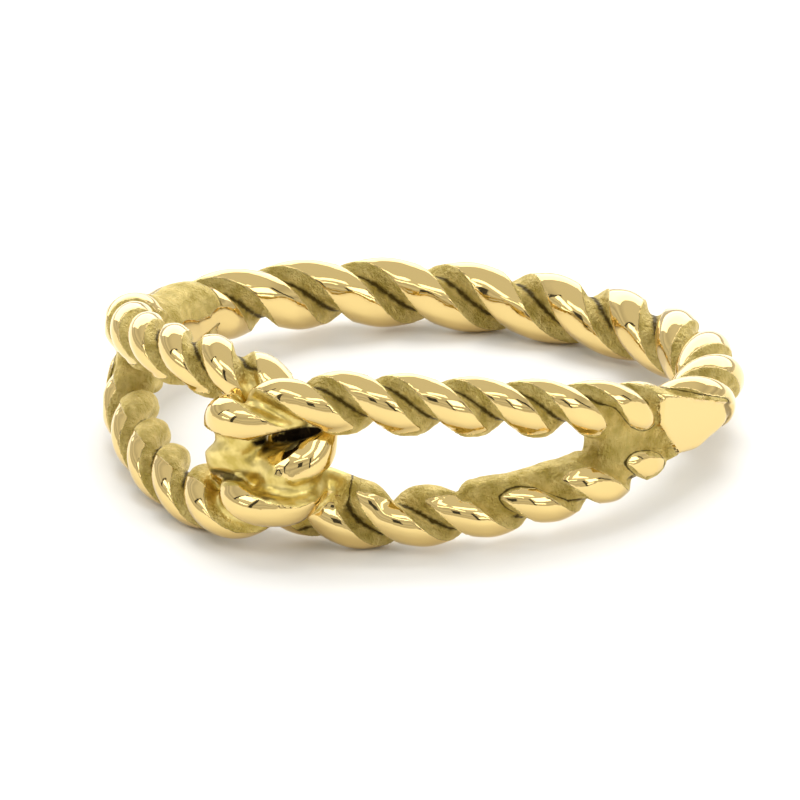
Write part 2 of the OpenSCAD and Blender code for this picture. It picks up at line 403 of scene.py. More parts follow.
def soft_max(a: np.ndarray, b: np.ndarray, reach: float) -> np.ndarray:
    """The greater of two fields, with the edge between them eased over reach."""
    return -soft_min(-a, -b, reach)


def around(points: np.ndarray) -> tuple[np.ndarray, np.ndarray]:
    """Places' distances from the hole's axis and angles from the knot in degrees, alike on both sides."""
    x = np.abs(points[:, 0])
    return np.hypot(x, points[:, 1]), np.degrees(np.arctan2(x, -points[:, 1]))


@dataclass
class Rope:
    """A two-ply rope along a smooth line.

    Args:
        rows: places and radii that the line runs through.
        lay: length of one full turn of the plies.
        turn: how far the plies are turned from outward, in degrees, in the middle of the line.
        sizes: the ring's sizes.
        beside_slot: whether the rope has a slot on one side, which no wheel reaches.
        slack: degrees by which the plies lag at the rope's start and lead at its end.
        bend_slack: degrees by which they lead in its middle.
        steps: points drawn between two rows, before the line is divided evenly.
        gap: distance between two points of the line.
        reach: how far along the line a point of it is read.
        crease: height of the cast skin over the polished back that counts as well within it.
        end_edge: reach of the eased edge of the rope's ends.
        plied_in: how far from the rope's ends the line where two plies meet is whole.
        plied_r: radii between which a thin end starts to show it.
        places: the line's points, worked out from the rows.
        radii: the rope's radius at each.
        length: length of the line.
        carried: its directions at each point, along it, outward and across, one a row.
    """

    rows: np.ndarray
    lay: float
    turn: float
    sizes: RingSizes
    beside_slot: bool = False
    slack: Pair = (0.0, 0.0)
    bend_slack: float = 0.0
    steps: int = 24
    gap: float = 0.05
    reach: float = 0.5
    crease: float = 0.08
    end_edge: float = 0.12
    plied_in: float = 0.2
    plied_r: Pair = (0.8, 0.9)
    places: np.ndarray = field(init=False)
    radii: np.ndarray = field(init=False)
    length: float = field(init=False)
    carried: np.ndarray = field(init=False)

    def __post_init__(self) -> None:
        """Draws the line and carries its frame along it."""
        line = self.smooth(self.rows, self.steps)
        steps = np.linalg.norm(np.diff(line[:, :3], axis=0), axis=1)
        run = np.concatenate([[0.0], np.cumsum(steps)])
        self.length = float(run[-1])
        count = int(math.ceil(self.length / self.gap)) + 1
        self.gap = self.length / (count - 1)
        at = np.linspace(0.0, self.length, count)
        even = np.stack([np.interp(at, run, line[:, c]) for c in range(4)], axis=1)
        self.places, self.radii = even[:, :3], even[:, 3]
        along = unit(np.gradient(self.places, axis=0))
        away = unit(self.places * [1.0, 1.0, 0.0])
        out = unit(away - (away * along).sum(1)[:, None] * along)
        self.carried = np.stack([along, out, np.cross(along, out)], axis=1)

    @staticmethod
    def smooth(rows: np.ndarray, steps: int) -> np.ndarray:
        """The smooth curve through rows, held at both ends.

        Args:
            rows: what the curve runs through.
            steps: points for each row.

        Returns:
            The curve's points.
        """
        held = np.vstack([rows[:1], rows, rows[-1:]])
        t = np.linspace(0.0, 1.0, steps, endpoint=False)[:, None]
        parts = []
        for a, b, c, d in zip(held, held[1:], held[2:], held[3:]):
            cubic = 3.0 * b - a - 3.0 * c + d
            square = 2.0 * a - 5.0 * b + 4.0 * c - d
            parts.append((2.0 * b + (c - a) * t + square * t**2 + cubic * t**3) / 2.0)
        return np.vstack(parts + [rows[-1:]])

    def turned_half(self) -> "Rope":
        """Turns the rope half round about the knot's own axis."""
        half = np.array([-1.0, 1.0, -1.0])
        self.places, self.carried = self.places * half, self.carried * half
        return self

    def ply(self, angle: np.ndarray) -> np.ndarray:
        """Radius of the cast section at angles from a ply's top, for polished plies of radius 1."""
        c, s = np.abs(np.cos(angle)), np.sin(angle)
        lobe = c / (c * c + self.sizes.ply_round * s * s) / self.sizes.polish
        return (lobe**SHARPNESS + self.sizes.groove**SHARPNESS) ** (1 / SHARPNESS)

    def reached(self, outward: np.ndarray) -> np.ndarray:
        """How well the wheel reaches angles round the rope from outward: 0 in the slot, 1 outside."""
        if not self.beside_slot:
            return np.ones_like(outward)
        return ramp(*self.sizes.wheel_reach, np.cos(outward - math.radians(self.sizes.wheel_angle)))

    def field(self, points: np.ndarray, near: np.ndarray) -> tuple[np.ndarray, np.ndarray, np.ndarray]:
        """How far points stand off the rope's skin.

        Args:
            points: places in the ring's own frame.
            near: for each, the number of the line's point nearest to it.

        Returns:
            The distance, negative inside, how far within the polished back of a ply the place lies, from 1
            well within it to -1 well outside, and how far it lies from the line where two plies meet, 0 on
            it and 1 or -1 on a ply's top.
        """
        ahead = ((points - self.places[near]) * self.carried[near, 0]).sum(1)
        run = near * self.gap + np.clip(ahead, -self.reach, self.reach)
        held = np.clip(run, 0.0, self.length)
        low = np.minimum((held / self.gap).astype(int), len(self.places) - 2)
        share = (held / self.gap - low)[:, None]
        centre = self.places[low] * (1 - share) + self.places[low + 1] * share
        radius = self.radii[low] * (1 - share[:, 0]) + self.radii[low + 1] * share[:, 0]
        share = share[..., None]
        frame = unit(self.carried[low] * (1 - share) + self.carried[low + 1] * share)
        off = points - centre
        x, y = (off * frame[:, 1]).sum(1), (off * frame[:, 2]).sum(1)
        from_middle, slack_run = held - self.length / 2, self.sizes.slack_run
        turn = math.radians(self.turn) + 2 * math.pi * from_middle / self.lay
        turn -= math.radians(self.slack[0]) * ramp(slack_run, 0.0, held)
        turn += math.radians(self.slack[1]) * ramp(self.length - slack_run, self.length, held)
        turn += math.radians(self.bend_slack) * ramp(self.sizes.bend_run, 0.0, np.abs(from_middle))
        outward = np.arctan2(y, x)
        reached = self.reached(outward)
        cast = self.ply(outward - turn)
        back = 1.0 - self.sizes.back_fall * np.sin(outward - turn) ** 2
        wheel = back + (1.0 - reached) * (1.0 / self.sizes.polish - 1.0)
        side = np.hypot(x, y) - np.minimum(cast, wheel) * radius
        past = np.maximum(np.maximum(run - self.length, -run), np.abs(ahead) - self.reach)
        polished = np.minimum((cast - back) / self.crease, 2.0 * reached - 1.0)
        on_rope = ramp(0.0, -self.plied_in, past) * ramp(*self.plied_r, radius)
        meeting = np.cos(outward - turn) * on_rope + 1.0 - on_rope
        return soft_max(side, past, self.end_edge), np.clip(polished, -1.0, 1.0), meeting


@dataclass
class CastForm:
    """The casting as one field, negative inside the metal and 0 on its skin, with a fillet at each meeting.

    Args:
        sizes: the ring's sizes.
        shank: the thick rope.
        loops: the loops on the +X and the -X side.
        fillet: reach of the fillets that the mould leaves.
        knot_fillet: reach of the fuller ones inside the knot.
        knot_from: distances from the knot's middle between which they grow to theirs.
        satin_from: distances from it between which the cast metal turns smooth.
        gap_fillet: reach of the eased edges of the deep gaps.
        edge: reach of the eased edges round the ground flats, and the width of a polished border.
        slab_edge: reach of the eased edges along a web.
        end_edge: reach of those at the ends of a web and of the seam.
        seam_edge: reach of those along the seam.
        knuckle_edges: reach of those at a blunt end's ends and over it.
        knuckle_fade: width of the border of a blunt end's polished face.
        knuckle_bright: distances from the hole's axis between which that face starts.
        dull_from: angle from the knot at which the dull skin under a blunt end starts.
        dull_to: height, or depth, under which that skin lies.
        clear: gap to other metal that the wheel needs, and the further gap for its whole reach.
        bend_tall: heights between which the dull metal of the knot's bend ends.
        bend_side: places along X between which it ends.
        line_clear: gap to other metal at which the line where two plies meet is whole.
        gap_shade_fade: distance over which the painted shade in a deep gap ends.
        gap_shade_wider: how much longer, deeper and taller than its gap the painted shade is.
        lift: how far a ground flat is lifted clear past its ends.
        lift_over: heights over a blunt end's top between which the flat is lifted.
        strand_apart: run between two points of a loop that makes them count as two strands.
        rounds: steps taken to draw a place on to the skin.
        most: the longest of them.
        probe: how far off the field is read for its slope.
        flattest: least square of the slope that a step is worked out from.
        chunk: places measured at a time.
    """

    sizes: RingSizes
    shank: Rope
    loops: tuple[Rope, Rope]
    fillet: float = 0.2
    knot_fillet: float = 0.4
    knot_from: Pair = (2.4, 1.2)
    satin_from: Pair = (3.2, 2.4)
    gap_fillet: float = 0.12
    edge: float = 0.03
    slab_edge: float = 0.2
    end_edge: float = 0.5
    seam_edge: float = 0.4
    knuckle_edges: Pair = (0.1, 0.15)
    knuckle_fade: float = 0.05
    knuckle_bright: Pair = (10.3, 10.5)
    dull_from: float = 74.5
    dull_to: float = 0.1
    clear: Pair = (0.2, 0.14)
    bend_tall: Pair = (0.95, 0.7)
    bend_side: Pair = (0.3, -0.1)
    line_clear: float = 0.3
    gap_shade_fade: float = 0.06
    gap_shade_wider: Triple = (0.0, 0.5, 0.0)
    lift: float = 2.0
    lift_over: Pair = (-0.05, 0.25)
    strand_apart: float = 5.0
    rounds: int = 4
    most: float = 0.08
    probe: float = 0.01
    flattest: float = 0.2
    chunk: int = 4000

    def closest(self, rope: Rope, points: np.ndarray) -> np.ndarray:
        """The rope point nearest to each point.

        Args:
            rope: the rope.
            points: places in the ring's own frame.

        Returns:
            The numbers of its points.
        """
        parts = [points[start : start + self.chunk] for start in range(0, len(points), self.chunk)]
        length = (rope.places**2).sum(1)
        return np.concatenate([(length - 2 * part @ rope.places.T).argmin(1) for part in parts])

    def nearest(self, points: np.ndarray) -> list[tuple[Rope, np.ndarray]]:
        """The rope points nearest to each point: one for the shank, one for each strand of a loop.

        Args:
            points: places in the ring's own frame.

        Returns:
            Pairs of a rope and the numbers of its nearest points.
        """
        found = []
        for rope in (self.shank, *self.loops):
            first, second = [], []
            at = np.arange(len(rope.places)) * rope.gap
            for start in range(0, len(points), self.chunk):
                part = points[start : start + self.chunk]
                square = (rope.places**2).sum(1) - 2 * part @ rope.places.T
                one = square.argmin(1)
                first.append(one)
                if rope.beside_slot:
                    square[np.abs(at - at[one][:, None]) < self.strand_apart] = FAR
                    second.append(square.argmin(1))
            found.append((rope, np.concatenate(first)))
            if second:
                found.append((rope, np.concatenate(second)))
        return found

    def off_knot(self, points: np.ndarray) -> np.ndarray:
        """How far places lie from the knot's middle."""
        return np.linalg.norm(points - [0.0, -self.sizes.bend_dist, 0.0], axis=1)

    def lifted(self, points: np.ndarray) -> np.ndarray:
        """Places' heights over the ring's middle, which rises toward its two sides."""
        rise = np.where(points[:, 0] > 0.0, self.sizes.right_rise, self.sizes.left_rise)
        return points[:, 2] - rise * (points[:, 0] / np.maximum(around(points)[0], 1.0)) ** 2

    def half(self, points: np.ndarray) -> np.ndarray:
        """The same heights, taken as depths on the -X side."""
        return self.lifted(points) * np.where(points[:, 0] > 0.0, 1.0, -1.0)

    def web(self, points: np.ndarray) -> np.ndarray:
        """How far points stand off the plain metal of the casting: webs, blunt ends and seam.

        Args:
            points: places in the ring's own frame.

        Returns:
            The distance, negative inside. The webs fill the crotches, the blunt ends end the shank, and the
            seam runs along the lower strand on the +X side.
        """
        s = self.sizes
        dist, angle = around(points)
        arc = np.radians(dist)
        z, half, height = self.lifted(points), self.half(points), s.strand_height(angle)
        off_middle = np.abs(dist - (s.shank_dist - s.web_in))
        curl = s.web_curl * np.clip(z / height, -1.0, 1.0) ** 2
        start = (s.web_from - curl - angle) * arc
        ends = soft_max(start, (angle - s.shank_from - s.web_lap) * arc, self.slab_edge)
        slab = soft_max(off_middle - s.web_t / 2, np.abs(z) - height, self.slab_edge)
        slab = soft_max(slab, ends, self.end_edge)
        flatter = np.where(half > 0.0, s.knuckle_flat, 1.0)
        knuckle = np.hypot(dist - s.shank_dist, flatter * half) - s.knuckle_r
        ends = np.maximum(self.knuckle_start(half) - angle, angle - self.knuckle_end(half)) * arc
        knuckle = soft_max(knuckle, ends, self.knuckle_edges[0])
        knuckle = soft_max(knuckle, self.over_knuckle(points), self.knuckle_edges[1])
        ends = np.maximum(np.maximum(s.seam_from - angle, angle - s.web_from) * arc, -points[:, 0])
        seam = soft_max(off_middle - s.seam_t / 2, z + height - s.seam_rise, self.seam_edge)
        seam = soft_max(np.maximum(seam, -z - height), ends, self.end_edge)
        return np.min([slab, knuckle, seam], axis=0)

    @staticmethod
    def bar(points: np.ndarray, start: Triple, end: Triple, radius: float) -> np.ndarray:
        """How far points stand off a round-ended bar.

        Args:
            points: places in the ring's own frame.
            start: the middle of one end.
            end: the middle of the other end.
            radius: the bar's radius.

        Returns:
            The distance, negative inside.
        """
        run = np.subtract(end, start)
        along = np.clip((points - start) @ run / (run @ run), 0.0, 1.0)[:, None]
        return np.linalg.norm(points - start - along * run, axis=1) - radius

    def knuckle_end(self, half: np.ndarray) -> np.ndarray:
        """The angle from the knot at which a blunt end ends, nearer where half is over 0."""
        return self.sizes.knuckle_to - self.sizes.knuckle_back * np.clip(half, 0.0, 1.0)

    def knuckle_start(self, half: np.ndarray) -> np.ndarray:
        """The angle from the knot at which a blunt end starts, farther under its corner."""
        s = self.sizes
        return s.knuckle_from + s.knuckle_slant * np.clip(s.knuckle_corner - half, 0.0, s.knuckle_depth)

    def over_knuckle(self, points: np.ndarray) -> np.ndarray:
        """How far places stand over a blunt end's slanting top, or under it on the -X side."""
        s = self.sizes
        return self.half(points) - s.knuckle_top + s.knuckle_fall * (around(points)[1] - s.knuckle_from)

    def flats(self, points: np.ndarray) -> np.ndarray:
        """How far points stand proud of the ground flats.

        Args:
            points: places in the ring's own frame.

        Returns:
            The distance, positive where metal is ground away.
        """
        s = self.sizes
        dist, angle = around(points)
        a = math.radians(s.flat_angle)
        plane = np.abs(points[:, 0]) * math.sin(a) - points[:, 1] * math.cos(a) - s.flat_dist
        plane = plane - self.lift * ramp(*self.lift_over, self.over_knuckle(points))
        past = 1.0 - ramp(*s.ground_from, angle) + ramp(*s.ground_to, angle)
        return np.maximum(plane, dist - s.strand_ground_r - self.lift * past)

    def value(self, points: np.ndarray, near: list[tuple[Rope, np.ndarray]]) -> np.ndarray:
        """The casting's field.

        Args:
            points: places in the ring's own frame.
            near: what nearest() found for them.

        Returns:
            The distance from the skin, negative inside the metal.
        """
        s = self.sizes
        fuller = ramp(*self.knot_from, self.off_knot(points))
        fillet = self.fillet + (self.knot_fillet - self.fillet) * fuller
        whole = self.web(points)
        for rope, index in near:
            whole = soft_min(whole, rope.field(points, index)[0], fillet)
        for start, end in (s.fill_ends, s.hump_ends):
            whole = soft_min(whole, self.bar(points, start, end, s.fill_r), self.knot_fillet)
        whole = soft_max(whole, -np.min([pit.off(points) for pit in s.pits], axis=0), self.gap_fillet)
        whole = soft_max(whole, self.flats(points), self.edge)
        return soft_max(whole, s.hole_r - around(points)[0], self.edge)

    def settle(self, points: np.ndarray) -> np.ndarray:
        """Draws points on to the casting's skin.

        Args:
            points: places near the skin.

        Returns:
            The places on the skin.
        """
        for _ in range(self.rounds):
            near = self.nearest(points)
            here = self.value(points, near)
            moved = [self.value(points + self.probe * axis, near) - here for axis in np.eye(3)]
            rise = np.stack(moved, axis=1) / self.probe
            step = (here / np.maximum((rise**2).sum(1), self.flattest))[:, None] * rise
            size = np.linalg.norm(step, axis=1, keepdims=True)
            points = points - step * np.minimum(1.0, self.most / np.maximum(size, 1 / FAR))
        return points

    def polished(self, points: np.ndarray) -> np.ndarray:
        """How far places lie within what the wheel has polished, from 1 well within it to -1 well outside.

        Args:
            points: places on the skin.

        Returns:
            The figure at each place, 0 on the border between polished metal and cast skin.
        """
        s = self.sizes
        fields = [rope.field(points, index) for rope, index in self.nearest(points)]
        off = np.stack([f[0] for f in fields] + [self.web(points)], axis=1)
        within = np.stack([f[1] for f in fields] + [np.full(len(points), -1.0)], axis=1)
        order = np.sort(off, axis=1)
        back = within[np.arange(len(points)), off.argmin(1)]
        clear = (order[:, 1] - order[:, 0] - self.clear[0]) / self.clear[1]
        dist, angle = around(points)
        half, arc = self.half(points), np.radians(dist)
        ground = np.maximum(self.flats(points), s.hole_r - dist) / self.edge + 1.0
        sides = np.minimum(angle - self.knuckle_start(half), self.knuckle_end(half) - angle) * arc
        on_knuckle = np.minimum(sides, -self.over_knuckle(points)) / self.knuckle_fade
        bright_from, bright_to = self.knuckle_bright
        on_knuckle = np.minimum(on_knuckle, (dist - bright_from) / (bright_to - bright_from))
        under_end = np.minimum(angle - self.dull_from, s.knuckle_to - angle)
        under_end = np.minimum(under_end, 1.0 - half / self.dull_to)
        in_bend = ramp(*self.bend_tall, np.abs(points[:, 2])) * ramp(*self.bend_side, points[:, 0])
        in_bend *= self.satin(points)
        on_ply = np.minimum(np.minimum(back, clear) * (1.0 - in_bend) - in_bend, -under_end)
        return np.clip(np.max([on_ply, ground, on_knuckle], axis=0), -1.0, 1.0)

    def deep(self, points: np.ndarray) -> np.ndarray:
        """How dark the painted shade in the deep gaps is at places on the skin, from 0 to 1."""
        off = [pit.off(points, self.gap_shade_wider) for pit in self.sizes.pits]
        gap_shade = np.array([[pit.gap_shade] for pit in self.sizes.pits])
        return (gap_shade * ramp(self.gap_shade_fade, 0.0, np.array(off))).max(0)

    def meeting(self, points: np.ndarray) -> np.ndarray:
        """How far places lie from the line where two plies meet.

        Args:
            points: places on the skin.

        Returns:
            The cosine of the angle from a ply's top: 0 on the line, and 1 off the ropes.
        """
        fields = [rope.field(points, index) for rope, index in self.nearest(points)]
        off = np.stack([f[0] for f in fields], axis=1)
        meeting = np.stack([f[2] for f in fields], axis=1)
        order = np.sort(np.column_stack([off, self.web(points)]), axis=1)
        on_rope = ramp(0.0, self.line_clear, order[:, 1] - order[:, 0]) * (off.min(1) <= order[:, 0])
        on_rope *= 1.0 - self.satin(points)
        found = meeting[np.arange(len(points)), off.argmin(1)]
        return found * on_rope + 1.0 - on_rope

    def satin(self, points: np.ndarray) -> np.ndarray:
        """How far places lie inside the knot, where the cast metal is smooth: 1 inside it and 0 outside."""
        return ramp(*self.satin_from, self.off_knot(points))


class Nodes:
    """Adds nodes to a tree and links them, so that a tree reads as what it makes."""

    def __init__(self, tree: bpy.types.NodeTree) -> None:
        """Keeps the tree that the nodes go to."""
        self.tree = tree

    def add(self, kind: str, inputs: dict | None = None, **settings: object) -> bpy.types.Node:
        """One node.

        Args:
            kind: the node's type.
            inputs: values or sockets for its inputs, by name or number.
            settings: the node's own properties.

        Returns:
            The node.
        """
        node = self.tree.nodes.new(kind)
        for name, value in settings.items():
            setattr(node, name, value)
        for name, value in (inputs or {}).items():
            socket = node.inputs[name]
            if isinstance(value, bpy.types.NodeSocket):
                self.tree.links.new(value, socket)
            else:
                socket.default_value = value
        return node

    def math(self, operation: str, *values: object) -> bpy.types.NodeSocket:
        """The result of a sum on numbers or sockets.

        Args:
            operation: the sum's name.
            values: its numbers or sockets, in order.

        Returns:
            The result's socket.
        """
        return self.add("ShaderNodeMath", dict(enumerate(values)), operation=operation).outputs[0]

    def vector(self, operation: str, inputs: dict) -> bpy.types.NodeSocket:
        """The result of a sum on vectors.

        Args:
            operation: the sum's name.
            inputs: its values or sockets, by name or number.

        Returns:
            The result's socket.
        """
        return self.add("ShaderNodeVectorMath", inputs, operation=operation).outputs[0]

    def face(self, face: Face) -> bpy.types.NodeSocket:
        """A face's value at each point, in a tree of either kind."""
        if self.tree.bl_idname == "ShaderNodeTree":
            return self.add("ShaderNodeAttribute", attribute_name=face.value).outputs["Fac"]
        return self.add("GeometryNodeInputNamedAttribute", {"Name": face.value}, data_type="FLOAT").outputs[0]

    def ranged(self, value: object, start: float, end: float, kind: str = "LINEAR") -> bpy.types.NodeSocket:
        """A value's place between two others.

        Args:
            value: the value's socket.
            start: what gives 0.
            end: what gives 1.
            kind: the shape of the rise.

        Returns:
            The place's socket, held between 0 and 1.
        """
        inputs = {"Value": value, "From Min": start, "From Max": end}
        return self.add("ShaderNodeMapRange", inputs, interpolation_type=kind).outputs[0]

    def between(self, share: object, first: object, second: object) -> bpy.types.NodeSocket:
        """A number between two others, for a share of 0 to 1."""
        inputs = {"Value": share, "To Min": first, "To Max": second}
        return self.add("ShaderNodeMapRange", inputs).outputs[0]

    def mix(self, share: object, first: object, second: object) -> bpy.types.NodeSocket:
        """A colour between two others, for a share of 0 to 1."""
        return self.add("ShaderNodeMix", {0: share, 6: first, 7: second}, data_type="RGBA").outputs[2]

    def noise(self, place: object, scale: object, detail: float, roughness: float) -> bpy.types.NodeSocket:
        """A noise between 0 and 1.

        Args:
            place: where it is read.
            scale: lumps for each unit of length.
            detail: how many finer noises it holds.
            roughness: how strong the finer ones are.

        Returns:
            The noise's socket.
        """
        inputs = {"Vector": place, "Scale": scale, "Detail": detail, "Roughness": roughness}
        return self.add("ShaderNodeTexNoise", inputs).outputs[0]


def new_tree(name: str, kind: str, inputs: dict, outputs: dict) -> bpy.types.NodeTree:
    """A tree with named inputs and outputs.

    Args:
        name: the tree's name.
        kind: its type.
        inputs: for each input, its kind or else the number that it holds until it is set.
        outputs: each output's kind.

    Returns:
        The tree, with no nodes in it.
    """
    tree = bpy.data.node_groups.new(name, kind)
    for way, sockets in (("INPUT", inputs), ("OUTPUT", outputs)):
        for title, held in sockets.items():
            number = Socket.WHOLE if isinstance(held, int) else Socket.FLOAT
            socket = held if isinstance(held, Socket) else number
            made = tree.interface.new_socket(title, in_out=way, socket_type=socket.value)
            if socket is not held:
                made.default_value = held
    return tree


@dataclass(frozen=True)
class RopeTree:
    """The Geometry Nodes tree that sweeps a two-ply section along a line.

    Args:
        name: the tree's name.
    """

    name: str = "two ply rope"

    def build(self) -> bpy.types.GeometryNodeTree:
        """Makes the tree.

        Returns:
            The tree, with its sizes as named inputs.
        """
        inputs = {"Line": Socket.GEOMETRY, "Step": 0.1, "Lay": 5.0, "Turn": 0.0}
        inputs |= {"Groove": 0.5, "Ply Roundness": 0.6, "Polish": 0.9, "Back Fall": 0.1}
        inputs |= {"Section Points": 48, "Metal": Socket.MATERIAL}
        tree = new_tree(self.name, "GeometryNodeTree", inputs, {"Rope": Socket.GEOMETRY})
        n = Nodes(tree)
        given = n.add("NodeGroupInput").outputs
        line = n.add("GeometryNodeMeshToCurve", {"Mesh": given["Line"]})
        spaced = {"Curve": line.outputs[0], "Length": given["Step"]}
        even = n.add("GeometryNodeResampleCurve", spaced, mode="LENGTH")
        place = n.add("GeometryNodeInputPosition").outputs[0]
        away = n.vector("NORMALIZE", {0: n.vector("MULTIPLY", {0: place, 1: (1.0, 1.0, 0.0)})})
        faced = n.add("GeometryNodeSetCurveNormal", {"Curve": even.outputs[0], "Normal": away}, mode="FREE")
        run = n.add("GeometryNodeSplineParameter").outputs["Length"]
        whole = n.add("GeometryNodeSplineLength").outputs["Length"]
        from_middle = n.math("SUBTRACT", run, n.math("MULTIPLY", whole, 0.5))
        turns = n.math("DIVIDE", n.math("MULTIPLY", from_middle, 2 * math.pi), given["Lay"])
        tilt = n.math("ADD", turns, given["Turn"])
        laid = n.add("GeometryNodeSetCurveTilt", {"Curve": faced.outputs[0], "Tilt": tilt})
        drawn = {"Curve": laid.outputs[0], "Profile Curve": self.section(n, given)}
        drawn |= {"Scale": n.face(Face.RADIUS), "Fill Caps": True}
        swept = n.add("GeometryNodeCurveToMesh", drawn)
        real = n.add("GeometryNodeRealizeInstances", {"Geometry": swept.outputs[0]})
        dressed = n.add("GeometryNodeSetMaterial", {"Geometry": real.outputs[0], "Material": given["Metal"]})
        n.add("NodeGroupOutput", {"Rope": dressed.outputs[0]})
        return tree

    def section(self, n: Nodes, given: bpy.types.NodeOutputs) -> bpy.types.NodeSocket:
        """The section of two plies, a ring whose radius falls to the groove between them.

        Args:
            n: the tree's nodes.
            given: the tree's inputs.

        Returns:
            The section's curve.
        """
        round_one = {"Resolution": given["Section Points"], "Radius": 1.0}
        ring = n.add("GeometryNodeCurvePrimitiveCircle", round_one).outputs[0]
        place = n.add("GeometryNodeInputPosition").outputs[0]
        xyz = n.add("ShaderNodeSeparateXYZ", {0: place})
        c = n.math("ABSOLUTE", xyz.outputs["X"])
        s = n.math("MULTIPLY", xyz.outputs["Y"], xyz.outputs["Y"])
        under = n.math("ADD", n.math("MULTIPLY", c, c), n.math("MULTIPLY", s, given["Ply Roundness"]))
        lobe = n.math("POWER", n.math("DIVIDE", n.math("DIVIDE", c, under), given["Polish"]), SHARPNESS)
        floor = n.math("POWER", given["Groove"], SHARPNESS)
        back = n.math("SUBTRACT", 1.0, n.math("MULTIPLY", s, given["Back Fall"]))
        radius = n.math("MINIMUM", n.math("POWER", n.math("ADD", lobe, floor), 1 / SHARPNESS), back)
        out = n.vector("SCALE", {0: place, "Scale": radius})
        return n.add("GeometryNodeSetPosition", {"Geometry": ring, "Position": out}).outputs[0]


@dataclass(frozen=True)
class CastSkinTree:
    """The Geometry Nodes tree that gives the unpolished metal the uneven skin of a sand mould.

    Args:
        name: the tree's name.
    """

    name: str = "cast skin"

    def build(self) -> bpy.types.GeometryNodeTree:
        """Makes the tree.

        Returns:
            The tree, with its sizes as named inputs.
        """
        inputs = {"Casting": Socket.GEOMETRY, "Depth": 0.05, "Lumps per Millimetre": 2.0, "Seed": 1.0}
        inputs |= {"Metal": Socket.MATERIAL}
        tree = new_tree(self.name, "GeometryNodeTree", inputs, {"Casting": Socket.GEOMETRY})
        n = Nodes(tree)
        given = n.add("NodeGroupInput").outputs
        share = n.ranged(n.face(Face.POLISHED), 0.0, -1.0, "SMOOTHSTEP")
        uneven = {"W": given["Seed"], "Scale": given["Lumps per Millimetre"], "Detail": 3.0, "Roughness": 0.6}
        lumps = n.add("ShaderNodeTexNoise", uneven, noise_dimensions="4D").outputs[0]
        rough = n.math("MULTIPLY", share, n.math("SUBTRACT", 1.0, n.face(Face.SATIN)))
        depth = n.math("MULTIPLY", n.math("SUBTRACT", lumps, 0.5), given["Depth"])
        normal = n.add("GeometryNodeInputNormal").outputs[0]
        offset = n.vector("SCALE", {0: normal, "Scale": n.math("MULTIPLY", depth, rough)})
        moved = n.add("GeometryNodeSetPosition", {"Geometry": given["Casting"], "Offset": offset})
        real = n.add("GeometryNodeRealizeInstances", {"Geometry": moved.outputs[0]})
        dressed = n.add("GeometryNodeSetMaterial", {"Geometry": real.outputs[0], "Material": given["Metal"]})
        n.add("NodeGroupOutput", {"Casting": dressed.outputs[0]})
        return tree


def set_inputs(modifier: bpy.types.NodesModifier, values: dict[str, object]) -> None:
    """Sets a Geometry Nodes modifier's inputs by the sockets' identifiers.

    Args:
        modifier: the modifier.
        values: each input's value, by the input's name.
    """
    for item in modifier.node_group.interface.items_tree:
        if item.item_type == "SOCKET" and item.in_out == "INPUT" and item.name in values:
            modifier[item.identifier] = values[item.name]


def placed(name: str, data: bpy.types.ID) -> bpy.types.Object:
    """A new object in the scene, for a mesh, a lamp or a camera."""
    made = bpy.data.objects.new(name, data)
    bpy.context.scene.collection.objects.link(made)
    return made


def new_object(name: str, points: np.ndarray, edges: list, faces: list) -> bpy.types.Object:
    """A mesh object in the scene.

    Args:
        name: its name.
        points: its points.
        edges: its loose edges.
        faces: its faces.

    Returns:
        The object.
    """
    mesh = bpy.data.meshes.new(name)
    mesh.from_pydata(points.tolist(), edges, faces)
    return placed(name, mesh)


def baked(source: bpy.types.Object) -> bpy.types.Mesh:
    """The plain mesh that an object's modifiers make; the object is removed."""
    bpy.context.view_layer.update()
    depsgraph = bpy.context.evaluated_depsgraph_get()
    mesh = bpy.data.meshes.new_from_object(source.evaluated_get(depsgraph))
    bpy.data.objects.remove(source)
    return mesh


def note(mesh: bpy.types.Mesh, face: Face, values: np.ndarray) -> None:
    """Writes values on a mesh's points.

    Args:
        mesh: the mesh.
        face: what the values tell.
        values: one value a point.
    """
    mesh.attributes.new(face.value, "FLOAT", "POINT").data.foreach_set("value", values)


def grown(source: bpy.types.Object, tree: bpy.types.GeometryNodeTree, inputs: dict) -> bpy.types.Mesh:
    """The plain mesh that a Geometry Nodes tree makes of an object, which is removed.

    Args:
        source: the object.
        tree: the tree.
        inputs: the tree's inputs, by name.

    Returns:
        The mesh.
    """
    modifier = source.modifiers.new(tree.name, "NODES")
    modifier.node_group = tree
    set_inputs(modifier, inputs)
    return baked(source)


def ball(name: str, centre: np.ndarray, axes: np.ndarray, halvings: int) -> bpy.types.Object:
    """A ball, drawn out along three axes.

    Args:
        name: what it is.
        centre: its middle.
        axes: its three half axes, one a row.
        halvings: how finely it is divided.

    Returns:
        The object.
    """
    bpy.ops.mesh.primitive_ico_sphere_add(subdivisions=halvings, radius=1.0)
    made = bpy.context.object
    made.name = name
    move_points(made.data, point_array(made.data) @ axes + centre)
    return made


def move_points(mesh: bpy.types.Mesh, points: np.ndarray) -> None:
    """Moves a mesh's points to new places, one a row."""
    mesh.vertices.foreach_set("co", points.ravel())
    mesh.update()


def point_array(mesh: bpy.types.Mesh) -> np.ndarray:
    """A mesh's points as rows."""
    flat = np.empty(len(mesh.vertices) * 3)
    mesh.vertices.foreach_get("co", flat)
    return flat.reshape(-1, 3)


